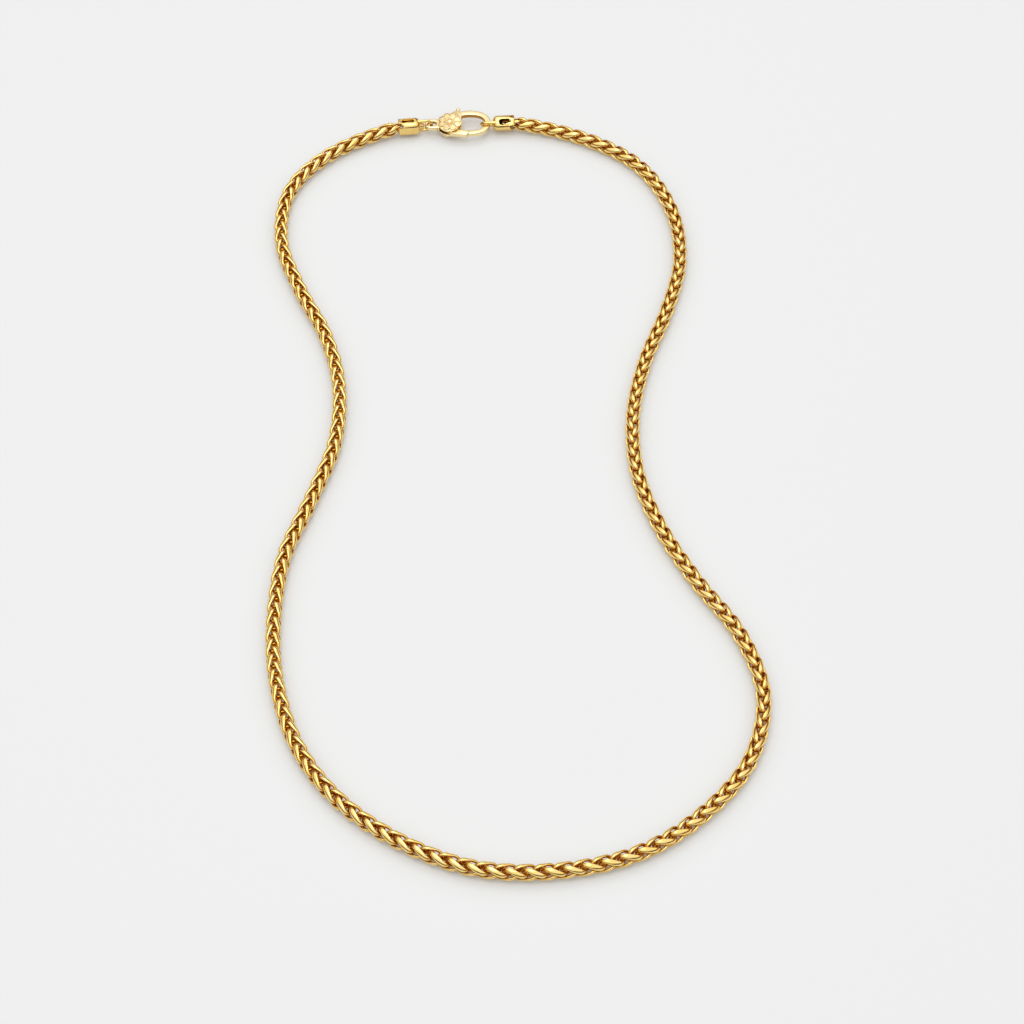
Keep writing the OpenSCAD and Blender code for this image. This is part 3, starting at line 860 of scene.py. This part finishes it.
linkSettings = {
    "length": 5.35 * mm,      # between the middles of the wire at both ends
    "halfWidth": 1.57 * mm,   # from the chain's axis to the middle of the wire
    "wire": 0.86 * mm,
    "pitch": 4.25 * mm,       # between links of one kind, fitted to the chain's length
    "ringSteps": 10,
    "wireSides": 6,
    "sideCuts": (-0.75 * mm, 0.75 * mm),
    "cageRing": 1.05,         # the subdivided ring is smaller than its cage by this much
    "cageWire": 1.15,
    # the wire is broadest round the chain in the middle of a leg: from where, to where, by how much
    "broad": ((0, 1.0 * mm, 1.9), (1.0 * mm, 1.85 * mm, 1.45), (1.85 * mm, 4.0 * mm, 1.1)),
    "shade": (1.72 * mm, 0.45 * mm),   # distance from the axis where the painted shade inside the chain starts, its depth
}


def makeLink(settings, turn):
    # a round ring, stretched to an oval and twisted a quarter turn from its head to its tail
    bpy.ops.object.select_all(action="DESELECT")
    bpy.ops.mesh.primitive_torus_add(
        major_segments=settings["ringSteps"], minor_segments=settings["wireSides"],
        major_radius=settings["halfWidth"] * settings["cageRing"],
        minor_radius=settings["wire"] / 2 * settings["cageWire"])
    link = bpy.context.object
    bpy.ops.object.mode_set(mode="EDIT")
    stretch = settings["length"] / 2 - settings["halfWidth"]
    for side in (-1, 1):
        selectVertices(link, lambda co: co.x * side > 0)
        bpy.ops.transform.translate(value=(side * stretch, 0, 0))
    for cut in settings["sideCuts"]:
        bpy.ops.mesh.select_all(action="SELECT")
        bpy.ops.mesh.bisect(plane_co=(cut, 0, 0), plane_no=(1, 0, 0))
    for low, high, share in settings["broad"]:
        selectVertices(link, lambda co: low <= abs(co.x) < high)
        bpy.ops.transform.resize(value=(1, 1, share), center_override=(0, 0, 0))
    bpy.ops.mesh.select_all(action="SELECT")
    bpy.ops.transform.translate(value=(settings["length"] / 2, 0, 0))
    bpy.ops.transform.rotate(value=math.pi / 2, orient_axis="X", center_override=(0, 0, 0))
    bpy.ops.object.mode_set(mode="OBJECT")
    wholeLength = link.dimensions.x
    applyModifier(link, "SIMPLE_DEFORM", deform_method="TWIST", deform_axis="X",
                  angle=turn * math.pi / 2 * wholeLength / settings["length"])
    return link


def makeChain(settings, path, pathLength):
    first = makeLink(settings, 1)
    second = makeLink(settings, -1)
    free = pathLength - settings["length"] - settings["wire"]
    pairs = round(free / settings["pitch"] + 0.5)
    pitch = free / (pairs - 0.5)
    put(second, (pitch / 2, 0, 0))
    chain = put(join("chain_links", [first, second]), (settings["wire"] / 2, 0, 0))
    applyModifier(chain, "SUBSURF", levels=1, render_levels=1)
    # painted shade on the wire towards the chain's axis, inside the chain
    start, fade = settings["shade"]
    markPaintedShade(chain, lambda co: fadeIn(start, fade, co))
    applyModifier(chain, "ARRAY", count=pairs, use_relative_offset=False,
                  use_constant_offset=True, constant_offset_displace=(pitch, 0, 0))
    applyModifier(chain, "CURVE", object=path, deform_axis="POS_X")
    bpy.ops.object.shade_smooth()
    print("chain of", 2 * pairs, "links, pitch", round(pitch / mm, 3), "mm")
    return chain


pathPoints = chainPath(chainSettings, (capPlaces["cap_left"], capPlaces["cap_right"]))
pathWidths, pathRolls, pathLength = chainWidths(pathPoints, chainSettings)
pathCurve = makeCurve("chainPath", pathPoints, pathWidths, pathRolls)
chainLinks = makeChain(linkSettings, pathCurve, pathLength)
bpy.data.objects.remove(pathCurve, do_unlink=True)
finishPiece(chainLinks, "root", "chain", chainGold)
print("chain made")
